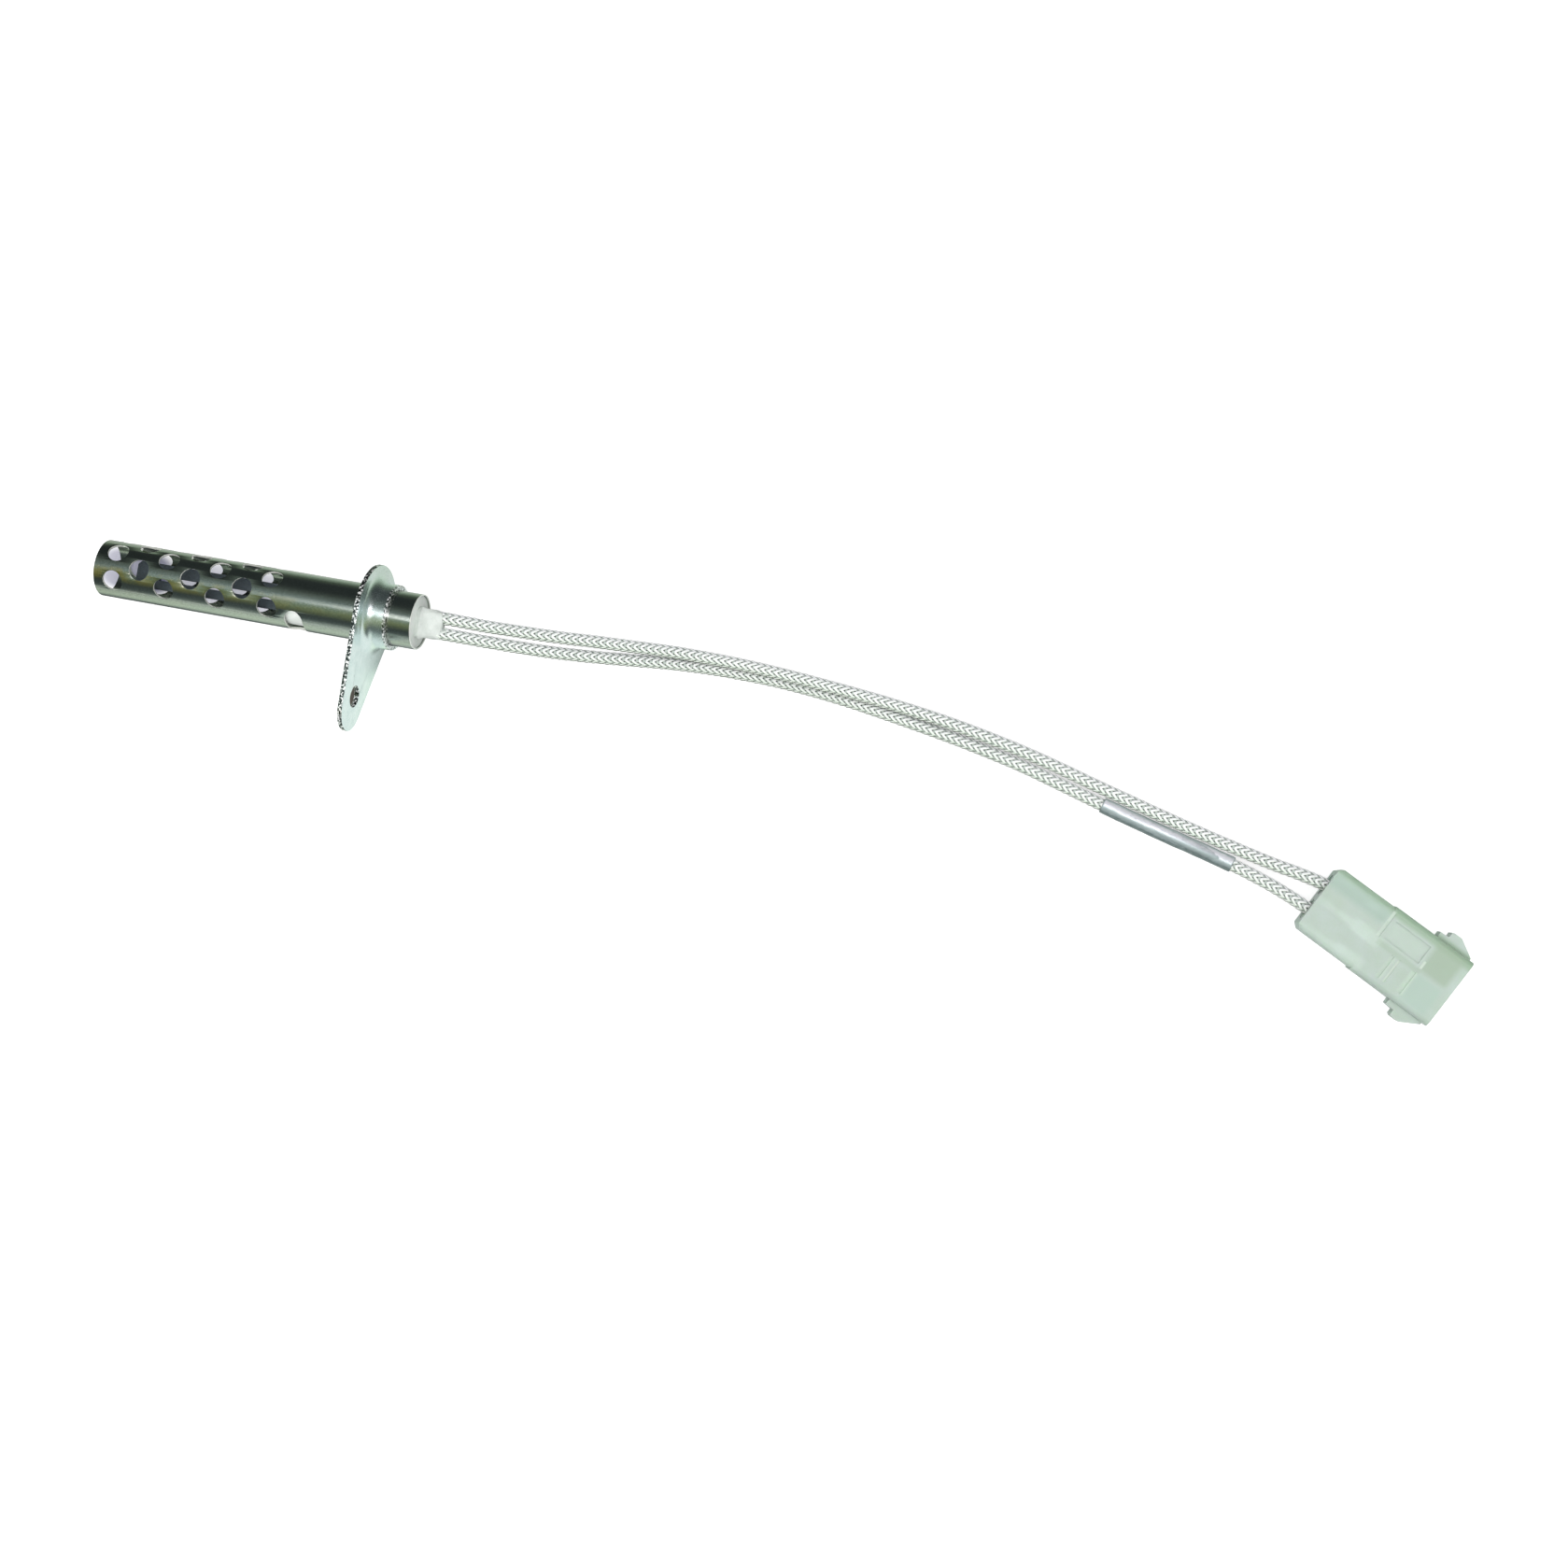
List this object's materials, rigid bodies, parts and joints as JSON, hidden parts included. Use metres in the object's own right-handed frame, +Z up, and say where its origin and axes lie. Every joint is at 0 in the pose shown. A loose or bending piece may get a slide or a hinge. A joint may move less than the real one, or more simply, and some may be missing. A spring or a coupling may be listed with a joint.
{
  "type": "flame sensor probe",
  "caption": "Flame sensor probe in a perforated steel tube on a stamped flange with a single screw lug, wired by braided leads to a panel connector.",
  "frame": {"origin": "on the surface the part lies on, under the middle of the probe's own box (tube, flange and insulator, without the leads and their connector)", "axes": "+X from the open tip towards the leads, -Y towards the flange's screw lug, +Z up from the surface; the tube's axis rises by 4.16 degrees towards the flange"},
  "size_m": [0.311, 0.0576, 0.022],
  "materials": {
    "stainless_tube": "polished, with a faint straw tint",
    "plated_flange": "matte tumbled",
    "steatite": "matte",
    "cement": "rough",
    "dark_ceramic": "matte",
    "nickel_wire": "satin",
    "conductor": "nickel-plated strands",
    "silicone": "matte",
    "glass_braid": "varnished braid",
    "silver_sleeve": "silver-grey coating",
    "natural_nylon": "translucent, satin",
    "contact_brass": "tin-plated"
  },
  "bodies": {
    "root": {"shield_tube": "stainless_tube", "mounting_flange": "plated_flange", "ceramic_insulator": "steatite", "front_cement": "cement", "rear_cement": "cement", "sensing_element": "dark_ceramic", "near_element_pin": "nickel_wire", "far_element_pin": "nickel_wire", "near_splice": "nickel_wire", "far_splice": "nickel_wire", "near_conductor": "conductor", "far_conductor": "conductor", "near_insulation": "silicone", "far_insulation": "silicone", "near_lead": "glass_braid", "far_lead": "glass_braid", "marker_sleeve": "silver_sleeve", "connector_housing": "natural_nylon", "near_contact": "contact_brass", "far_contact": "contact_brass"}
  },
  "joints": []
}
